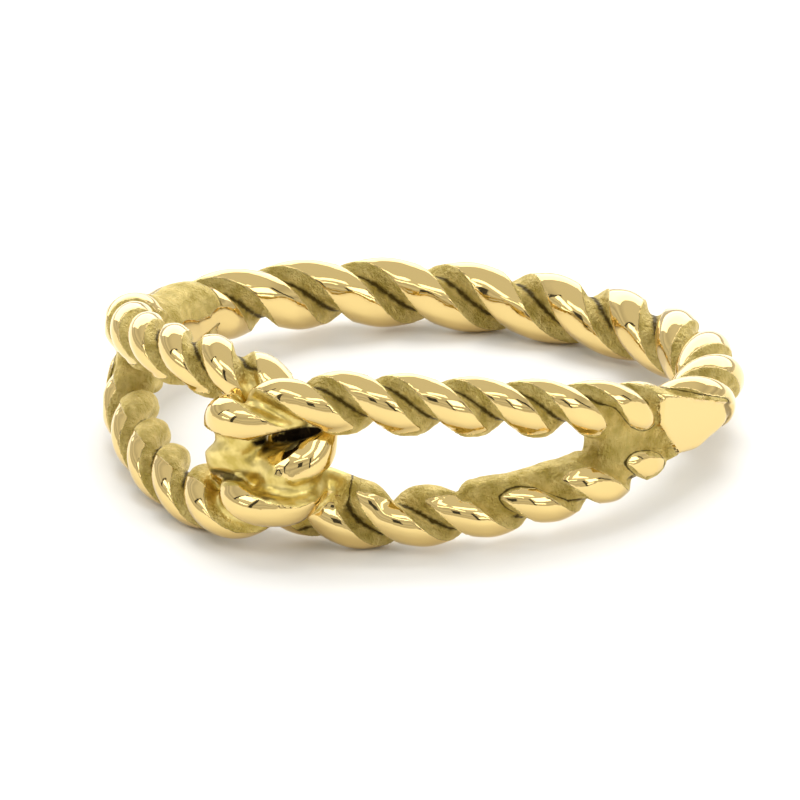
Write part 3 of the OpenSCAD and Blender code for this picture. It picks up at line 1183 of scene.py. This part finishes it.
@dataclass
class Casting:
    """The ring itself: its ropes and webs fused into one piece of metal.

    Args:
        sizes: the ring's sizes.
        voxel: grain of the fused mesh, in millimetres.
        rounds: times that the metal is fused and drawn on to its form.
        step: distance between two sections of a swept rope.
        section_points: points of a section.
        cuts: sections of a web and of the seam.
        end_cuts: sections of a blunt end.
        bar_balls: balls that a bar of metal is made of.
        ball_halvings: how finely a ball is divided.
        skin_depth: height of the cast skin's lumps, from the lowest to the highest.
        skin_lumps: lumps for each millimetre.
        skin_seed: which of the skins it is.
        name: the piece's name.
    """

    sizes: RingSizes
    voxel: float = 0.104
    quick_voxel: float = 1.6
    rounds: int = 2
    step: float = 0.1
    section_points: int = 48
    cuts: int = 9
    end_cuts: int = 5
    bar_balls: int = 9
    ball_halvings: int = 4
    skin_depth: float = 0.12
    skin_lumps: float = 2.4
    skin_seed: float = 3.0
    name: str = "ring_casting"

    def __post_init__(self) -> None:
        """Lays out the ropes and the form that they join in."""
        s = self.sizes
        shank = Rope(s.shank_rows(), s.shank_lay, s.shank_turn, s, slack=s.shank_slack)
        loop = {"lay": s.loop_lay, "turn": s.loop_turn, "sizes": s, "beside_slot": True}
        loop |= {"slack": s.loop_slack}
        rows = s.loop_rows(s.right_rise, s.right_bend_angle, s.right_bend_r)
        right = Rope(rows, bend_slack=s.right_bend_slack, **loop)
        rows = s.loop_rows(-s.left_rise, s.left_bend_angle, s.left_bend_r)
        left = Rope(rows, bend_slack=s.left_bend_slack, **loop).turned_half()
        self.ropes = {"shank_rope": shank, "right_loop": right, "left_loop": left}
        self.form = CastForm(s, shank, (right, left))

    def sweep(self, name: str, rope: Rope, tree: bpy.types.GeometryNodeTree) -> bpy.types.Mesh:
        """One rope as a swept mesh.

        Args:
            name: what the rope is.
            rope: its line.
            tree: the tree that sweeps it.

        Returns:
            The mesh.
        """
        count = len(rope.places)
        line = new_object(name, rope.places, [(i, i + 1) for i in range(count - 1)], [])
        note(line.data, Face.RADIUS, rope.radii)
        s = self.sizes
        inputs = {"Step": self.step, "Lay": rope.lay, "Turn": math.radians(rope.turn)}
        inputs |= {"Groove": s.groove, "Ply Roundness": s.ply_round, "Polish": s.polish}
        inputs |= {"Back Fall": s.back_fall, "Section Points": self.section_points}
        mesh = grown(line, tree, inputs)
        points = point_array(mesh)
        off = float(np.median(np.abs(rope.field(points, self.form.closest(rope, points))[0])))
        log.info("%s: %d faces swept, %.3f mm off its form", name, len(mesh.polygons), off)
        return mesh

    def slab(
        self, name: str, angles: np.ndarray, tops: np.ndarray, across: float, side: int
    ) -> bpy.types.Mesh:
        """A curved slab between two heights, round the finger.

        Args:
            name: what it is.
            angles: degrees from the knot at which its sections stand.
            tops: its lower and upper edge at each angle.
            across: its thickness.
            side: 1 for the +X side, -1 for the other.

        Returns:
            The mesh.
        """
        s = self.sizes
        middle = s.shank_dist - s.web_in
        rise = s.right_rise if side > 0 else s.left_rise
        points, faces = [], []
        for angle, (low, high) in zip(np.radians(angles), tops):
            lift = rise * math.sin(angle) ** 2
            for dist, z in ((-across, low), (across, low), (across, high), (-across, high)):
                x, y = (middle + dist / 2) * math.sin(angle), -(middle + dist / 2) * math.cos(angle)
                points.append([side * x, y, lift + z])
        last = 4 * (len(angles) - 1)
        for a in range(0, last, 4):
            faces += [(a + j, a + (j + 1) % 4, a + 4 + (j + 1) % 4, a + 4 + j) for j in range(4)]
        faces += [(3, 2, 1, 0), (last, last + 1, last + 2, last + 3)]
        return baked(new_object(name, np.array(points), [], [f[::side] for f in faces]))

    def plain_metal(self) -> list[bpy.types.Mesh]:
        """The webs, blunt ends, seam and knot metal as rough solids, before they are drawn on to the form."""
        s = self.sizes
        made = []
        for side in (1, -1):
            angles = np.linspace(s.web_from, s.shank_from + s.web_lap, self.cuts)
            tall = s.strand_height(angles)
            made.append(self.slab("web", angles, np.stack([-tall, tall], 1), s.web_t, side))
            angles = np.linspace(s.knuckle_from, s.knuckle_to, self.end_cuts)
            tall = np.full(len(angles), s.knuckle_r)
            made.append(self.slab("knuckle", angles, np.stack([-tall, tall], 1), 2 * s.knuckle_r, side))
        angles = np.linspace(s.seam_from, s.web_from, self.cuts)
        low = -s.strand_height(angles)
        made.append(self.slab("seam", angles, np.stack([low, low + s.seam_rise], 1), s.seam_t, 1))
        for start, end in (s.fill_ends, s.hump_ends):
            for share in np.linspace(0.0, 1.0, self.bar_balls):
                place = np.add(start, share * np.subtract(end, start))
                made.append(baked(ball("fill", place, s.fill_r * np.eye(3), self.ball_halvings)))
        return made

    def gap_cutters(self) -> list[bpy.types.Object]:
        """The deep gaps, as balls that are cut away."""
        drawn = [(pit.middle, pit.axes * np.array(pit.half)[:, None]) for pit in self.sizes.pits]
        return [ball("gap", middle, axes, self.ball_halvings) for middle, axes in drawn]

    def fuse(self, meshes: list[bpy.types.Mesh], cutters: list[bpy.types.Object]) -> bpy.types.Mesh:
        """One closed mesh round all the given ones.

        Args:
            meshes: closed meshes that overlap.
            cutters: objects that are cut out of it, and removed.

        Returns:
            The fused mesh.
        """
        points, faces = [], []
        for mesh in meshes:
            base = sum(len(p) for p in points)
            points.append(point_array(mesh))
            faces += [tuple(base + v for v in polygon.vertices) for polygon in mesh.polygons]
        whole = new_object("fused", np.vstack(points), [], faces)
        remesh = whole.modifiers.new("fuse", "REMESH")
        remesh.mode = "VOXEL"
        remesh.voxel_size = self.voxel * 1.0
        remesh.use_smooth_shade = True
        for cutter in cutters:
            cut = whole.modifiers.new("cut", "BOOLEAN")
            cut.operation, cut.solver, cut.object = "DIFFERENCE", "EXACT", cutter
        mesh = baked(whole)
        for cutter in cutters:
            bpy.data.objects.remove(cutter)
        return mesh

    def lay_down(self, points: np.ndarray) -> np.ndarray:
        """Places from the ring's own frame on to the table, in metres."""
        s = self.sizes
        tilt, roll = math.radians(-s.rest_tilt), math.radians(s.rest_roll)
        c, q = math.cos(tilt), math.sin(tilt)
        about_x = np.array([[1, 0, 0], [0, c, -q], [0, q, c]])
        c, q = math.cos(roll), math.sin(roll)
        about_y = np.array([[c, 0, q], [0, 1, 0], [-q, 0, c]])
        return (points @ (about_y @ about_x).T + [0.0, s.rest_shift, s.rest_height]) * MM

    def build(self, metal: bpy.types.Material) -> bpy.types.Object:
        """Makes the casting.

        Args:
            metal: its finish.

        Returns:
            The finished piece.
        """
        tree = RopeTree().build()
        parts = [self.sweep(name, rope, tree) for name, rope in self.ropes.items()]
        solids, cutters = parts + self.plain_metal(), self.gap_cutters()
        for _ in range(self.rounds):
            mesh = self.fuse(solids, cutters)
            points = self.form.settle(point_array(mesh))
            move_points(mesh, points)
            solids, cutters = [mesh], []
        note(mesh, Face.POLISHED, self.form.polished(points))
        note(mesh, Face.SATIN, self.form.satin(points))
        # The deep and meeting values carry painted shade: in the knot's deep gaps and along the line where
        # two plies meet.
        note(mesh, Face.DEEP, self.form.deep(points))
        note(mesh, Face.MEETING, self.form.meeting(points))
        skin = {"Depth": self.skin_depth, "Lumps per Millimetre": self.skin_lumps, "Seed": self.skin_seed}
        mesh = grown(placed("settled", mesh), CastSkinTree().build(), skin)
        move_points(mesh, self.lay_down(point_array(mesh)))
        mesh.name = self.name
        mesh.materials.clear()
        mesh.materials.append(metal)
        piece = placed(self.name, mesh)
        log.info("%s: %d faces", self.name, len(mesh.polygons))
        return piece


@dataclass(frozen=True)
class CastGrain:
    """The shader group for the skin that the mould leaves: grains of sand and a slow swell under them.

    Args:
        grains: grains for each metre.
        swell: lumps of the swell for each grain.
        grain_share: the grains' share of the height.
        swell_share: the swell's share of it.
        grain_noise: detail and roughness of the grains.
        swell_noise: those of the swell.
        name: the group's name.
    """

    grains: float = 9000.0
    swell: float = 0.22
    grain_share: float = 0.7
    swell_share: float = 0.6
    grain_noise: Pair = (3.0, 0.65)
    swell_noise: Pair = (2.0, 0.5)
    name: str = "cast grain"

    def build(self) -> bpy.types.ShaderNodeTree:
        """Makes the group.

        Returns:
            The group, with a height and a mottle for the metal's colour.
        """
        inputs = {"Share": 0.0, "Grains per Metre": self.grains}
        outputs = {"Height": Socket.FLOAT, "Mottle": Socket.FLOAT}
        tree = new_tree(self.name, "ShaderNodeTree", inputs, outputs)
        n = Nodes(tree)
        given = n.add("NodeGroupInput").outputs
        place = n.add("ShaderNodeTexCoord").outputs["Object"]
        fine = n.noise(place, given["Grains per Metre"], *self.grain_noise)
        slow_scale = n.math("MULTIPLY", given["Grains per Metre"], self.swell)
        slow = n.noise(place, slow_scale, *self.swell_noise)
        grain, swell = n.math("MULTIPLY", fine, self.grain_share), n.math("MULTIPLY", slow, self.swell_share)
        height = n.math("MULTIPLY", n.math("ADD", grain, swell), given["Share"])
        n.add("NodeGroupOutput", {"Height": height, "Mottle": slow})
        return tree


@dataclass(frozen=True)
class GoldPlate:
    """Polished yellow gold that keeps the mould's rough skin where the wheel can't reach.

    Args:
        bright: colour of the polished gold.
        pale: lighter colour of the gold in the rough skin.
        deep: darker colour of it.
        crease: colour of the painted shade along the line where two plies meet.
        polished: roughness of the polished gold.
        cast: roughness of the rough skin.
        satin: roughness of the cast metal inside the knot.
        gap_shade_colour: colour of the painted shade in the knot's deep gaps.
        gap_shade_rough: roughness of the gold under that painted shade.
        grain_height: height of the grains, in metres.
        mottle_span: mottle that gives the darker and the lighter of the skin's colours.
        crease_span: distance from the line of two plies that is free of its painted shade, and that is full
            of it.
        crease_ragged: how ragged the line's edge is.
        border_span: where the polish ends, from the last of it to the bare cast skin.
        border_ragged: how ragged that border is.
        ragged_grains: grains for each metre of the noise that frays both.
        ragged_noise: its detail and roughness.
    """

    bright: Colour = (0.79, 0.59, 0.24, 1.0)
    pale: Colour = (0.8, 0.64, 0.235, 1.0)
    deep: Colour = (0.55, 0.42, 0.105, 1.0)
    crease: Colour = (0.1, 0.07, 0.015, 1.0)
    polished: float = 0.06
    cast: float = 0.42
    satin: float = 0.34
    gap_shade_colour: Colour = (0.022, 0.014, 0.007, 1.0)
    gap_shade_rough: float = 0.8
    grain_height: float = 0.0004
    mottle_span: Pair = (0.35, 0.65)
    crease_span: Pair = (0.27, 0.06)
    crease_ragged: float = 0.35
    border_span: Pair = (0.15, -0.15)
    border_ragged: float = 0.7
    ragged_grains: float = 5000.0
    ragged_noise: Pair = (2.0, 0.5)

    def skin(
        self, n: Nodes, mottle: bpy.types.NodeSocket, ragged: bpy.types.NodeSocket
    ) -> bpy.types.NodeSocket:
        """The rough skin's colour.

        Args:
            n: the material's nodes.
            mottle: slow noise between 0 and 1.
            ragged: finer noise round 0.

        Returns:
            The colour, with painted shade darkening it where two plies meet.
        """
        rough = n.mix(n.ranged(mottle, *self.mottle_span), self.deep, self.pale)
        # Painted shade: the skin darkens toward the crease colour along the line where two plies meet.
        frayed = n.math("MULTIPLY", ragged, self.crease_ragged)
        line = n.math("ADD", n.math("ABSOLUTE", n.face(Face.MEETING)), frayed)
        return n.mix(n.ranged(line, *self.crease_span), rough, self.crease)

    def build(self) -> bpy.types.Material:
        """Makes the material.

        Returns:
            The material.
        """
        material = bpy.data.materials.new("gold_plate")
        material.use_nodes = True
        material.node_tree.nodes.clear()
        n = Nodes(material.node_tree)
        place = n.add("ShaderNodeTexCoord").outputs["Object"]
        ragged = n.math("SUBTRACT", n.noise(place, self.ragged_grains, *self.ragged_noise), 0.5)
        border = n.math("ADD", n.face(Face.POLISHED), n.math("MULTIPLY", ragged, self.border_ragged))
        share = n.ranged(border, *self.border_span, "SMOOTHSTEP")
        satin, deep = n.face(Face.SATIN), n.face(Face.DEEP)
        grained = {"Share": n.math("MULTIPLY", share, n.math("SUBTRACT", 1.0, satin))}
        grain = n.add("ShaderNodeGroup", grained, node_tree=CastGrain().build())
        colour = n.mix(share, self.bright, self.skin(n, grain.outputs["Mottle"], ragged))
        cast = n.between(satin, self.cast, self.satin)
        rough = n.between(deep, n.between(share, self.polished, cast), self.gap_shade_rough)
        raised = {"Height": grain.outputs["Height"], "Distance": self.grain_height, "Strength": 1.0}
        # Painted shade: the gold turns to the dark gap shade colour where the deep value is high.
        finish = {"Base Color": n.mix(deep, colour, self.gap_shade_colour), "Roughness": rough, "Metallic": 1.0}
        finish |= {"Normal": n.add("ShaderNodeBump", raised).outputs[0]}
        shader = n.add("ShaderNodeBsdfPrincipled", finish)
        n.add("ShaderNodeOutputMaterial", {"Surface": shader.outputs[0]})
        return material


def plain_finish(name: str, colour: Colour, roughness: float) -> bpy.types.Material:
    """A plain finish for what stands round the ring.

    Args:
        name: what it is.
        colour: its colour.
        roughness: how matt it is.

    Returns:
        The material.
    """
    material = bpy.data.materials.new(name)
    material.use_nodes = True
    shader = material.node_tree.nodes["Principled BSDF"]
    shader.inputs["Base Color"].default_value = colour
    shader.inputs["Roughness"].default_value = roughness
    return material


def toward(azimuth: float, elevation: float) -> Vector:
    """The direction from the ring to a place in the studio.

    Args:
        azimuth: degrees round the ring, 0 in front of the knot.
        elevation: degrees over the table.

    Returns:
        The unit vector.
    """
    a, e = math.radians(azimuth), math.radians(elevation)
    return Vector((math.sin(a) * math.cos(e), -math.cos(a) * math.cos(e), math.sin(e)))


@dataclass(frozen=True)
class Softbox:
    """A flat lamp with an even face.

    Args:
        name: what it is.
        azimuth: degrees round the ring, as the camera's.
        elevation: degrees over the table.
        distance: metres from the ring.
        size: width and height, in metres.
        brightness: how bright its face looks, 1 for the white table.
        seen: whether the ring mirrors it.
    """

    name: str
    azimuth: float
    elevation: float
    distance: float
    size: Pair
    brightness: float
    seen: bool = True

    def build(self, target: Vector) -> None:
        """Hangs the lamp facing a target.

        Args:
            target: where it shines.
        """
        lamp = bpy.data.lights.new(self.name, "AREA")
        lamp.shape = "RECTANGLE"
        lamp.size, lamp.size_y = self.size
        lamp.energy = self.brightness * math.pi * self.size[0] * self.size[1]
        made = placed(self.name, lamp)
        made.visible_camera = False
        made.visible_glossy = self.seen
        back = toward(self.azimuth, self.elevation)
        made.location = target + back * self.distance
        made.rotation_euler = (-back).to_track_quat("-Z", "Y").to_euler()


@dataclass(frozen=True)
class DarkCard:
    """A black card that only the ring's reflections show: the camera, or the dark edge of a lamp.

    Args:
        name: what it stands for.
        azimuth: degrees round the ring.
        elevation: degrees over the table.
        distance: metres from the ring.
        size: width and height, in metres.
    """

    name: str
    azimuth: float
    elevation: float
    distance: float
    size: Pair

    def build(self, target: Vector, black: bpy.types.Material) -> None:
        """Hangs the card facing a target.

        Args:
            target: what it faces.
            black: its material.
        """
        x, y = self.size[0] / 2, self.size[1] / 2
        back = toward(self.azimuth, self.elevation)
        turn = (-back).to_track_quat("-Z", "Y").to_matrix()
        middle = target + back * self.distance
        corners = [middle + turn @ Vector((right * x, up * y, 0.0)) for right, up in CORNERS]
        card = new_object(self.name, np.array([list(c) for c in corners]), [], [(0, 1, 2, 3)])
        card.data.materials.append(black)
        card.visible_camera = False
        card.visible_diffuse = False
        card.visible_shadow = False


@dataclass(frozen=True)
class Studio:
    """The white table, the soft lamps round it and the camera.

    Args:
        azimuth: the camera's place round the ring, in degrees.
        elevation: its height, in degrees.
        distance: its distance, in metres.
        pixels_per_metre: scale of the picture at the target.
        picture: width of the picture in pixels.
        sensor: width of the camera's sensor, in millimetres.
        clip: nearest and farthest thing that the camera sees, in metres.
        roll: turn of the camera about its own axis, in degrees.
        target: what the picture's middle looks at, in metres.
        floor_colour: colour of the table.
        floor_rough: roughness of the table.
        floor_half: half its width, in metres.
        card_colour: colour of the black cards.
        card_rough: their roughness.
        lamps: the lamps and panels.
        cards: what only the reflections show.
        room_low: colour of the room under the table.
        room_high: colour of its ceiling.
        room_bands: places between the two, and how bright the room is there.
        room_warmth: the bands' green and blue, for a red of 1.
    """

    azimuth: float = 28.32
    elevation: float = 22.42
    distance: float = 0.6588
    pixels_per_metre: float = 29164.0
    picture: float = 800.0
    sensor: float = 36.0
    clip: Pair = (0.01, 20.0)
    roll: float = -0.21
    target: Triple = (-0.0003, 0.0, 0.00162)
    floor_colour: Colour = (0.85, 0.85, 0.845, 1.0)
    floor_rough: float = 0.6
    floor_half: float = 1.5
    card_colour: Colour = (0.01, 0.01, 0.01, 1.0)
    card_rough: float = 0.5
    lamps: tuple[Softbox, ...] = (
        Softbox("table_lamp", 200.0, 72.0, 0.8, (0.5, 0.5), 4.5, seen=False),
        Softbox("back_panel", 205.0, 24.0, 0.9, (1.5, 0.55), 1.9),
        Softbox("left_panel", -52.0, 34.0, 0.7, (0.35, 0.16), 2.6),
        Softbox("left_low_panel", -46.0, 13.0, 0.7, (0.22, 0.05), 2.4),
        Softbox("left_high_panel", -20.0, 55.0, 0.7, (0.5, 0.12), 2.2),
        Softbox("right_panel", 86.0, 30.0, 0.7, (0.3, 0.2), 2.6),
        Softbox("right_low_panel", 76.0, 11.0, 0.7, (0.25, 0.05), 2.4),
        Softbox("right_high_panel", 60.0, 52.0, 0.7, (0.5, 0.1), 2.2),
        Softbox("strip_panel", 25.0, 40.0, 0.7, (0.6, 0.035), 2.6),
    )
    cards: tuple[DarkCard, ...] = (
        DarkCard("camera_body", 29.09, 21.5, 0.45, (0.12, 0.12)),
        DarkCard("left_stand", -30.0, 18.0, 0.8, (0.09, 0.5)),
        DarkCard("left_edge", -70.0, 30.0, 0.8, (0.05, 0.5)),
        DarkCard("right_stand", 64.0, 16.0, 0.8, (0.07, 0.45)),
        DarkCard("right_edge", 112.0, 24.0, 0.8, (0.1, 0.4)),
    )
    room_low: Colour = (0.8, 0.78, 0.75, 1.0)
    room_high: Colour = (0.8, 0.8, 0.78, 1.0)
    room_bands: tuple[Pair, ...] = (
        (0.1, 0.6),
        (0.2, 0.8),
        (0.26, 0.5),
        (0.36, 0.85),
        (0.5, 0.6),
        (0.7, 0.8),
    )
    room_warmth: Pair = (0.99, 0.96)

    def build_camera(self) -> None:
        """Sets the camera at the photograph's angle."""
        data = bpy.data.cameras.new("camera")
        data.lens = self.distance * self.pixels_per_metre * self.sensor / self.picture
        data.sensor_width = self.sensor
        data.clip_start, data.clip_end = self.clip
        camera = placed("camera", data)
        back = toward(self.azimuth, self.elevation)
        camera.location = Vector(self.target) + back * self.distance
        look = (-back).to_track_quat("-Z", "Y").to_matrix()
        camera.rotation_euler = (look @ Matrix.Rotation(math.radians(self.roll), 3, "Z")).to_euler()
        bpy.context.scene.camera = camera

    def build_table(self) -> None:
        """Lays the white table under the ring."""
        half = self.floor_half
        corners = np.array([[right * half, up * half, 0.0] for right, up in CORNERS])
        table = new_object("table", corners, [], [(0, 1, 2, 3)])
        table.data.materials.append(plain_finish("white_table", self.floor_colour, self.floor_rough))

    def build_light(self) -> None:
        """Hangs the lamps and the black cards."""
        black = plain_finish("black_card", self.card_colour, self.card_rough)
        for lamp in self.lamps:
            lamp.build(Vector(self.target))
        for card in self.cards:
            card.build(Vector(self.target), black)

    def build_room(self) -> None:
        """Lights the room round the table, in bands that the polished gold mirrors."""
        world = bpy.data.worlds.new("studio")
        world.use_nodes = True
        world.node_tree.nodes.clear()
        n = Nodes(world.node_tree)
        way = n.add("ShaderNodeTexCoord").outputs["Generated"]
        height = n.add("ShaderNodeSeparateXYZ", {0: way}).outputs["Z"]
        shade = n.add("ShaderNodeValToRGB", {"Fac": height})
        stops = shade.color_ramp.elements
        stops[0].position, stops[0].color = 0.0, self.room_low
        stops[1].position, stops[1].color = 1.0, self.room_high
        for position, grey in self.room_bands:
            green, blue = (grey * share for share in self.room_warmth)
            stops.new(position).color = (grey, green, blue, 1.0)
        back = n.add("ShaderNodeBackground", {"Color": shade.outputs[0], "Strength": 1.0})
        n.add("ShaderNodeOutputWorld", {"Surface": back.outputs[0]})
        bpy.context.scene.world = world

    def build(self) -> None:
        """Sets up the table, the lamps and the camera."""
        self.build_camera()
        self.build_table()
        self.build_light()
        self.build_room()
        bpy.context.scene.view_settings.view_transform = "Standard"


def main() -> None:
    """Builds the ring and the studio round it."""
    logging.basicConfig(level=logging.INFO, format="%(name)s: %(message)s")
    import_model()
    studio = Studio()
    studio.build()
    piece = Casting(RingSizes()).build(GoldPlate().build())
    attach(piece, "root")
    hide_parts("ring")


if __name__ == "__main__":
    main()
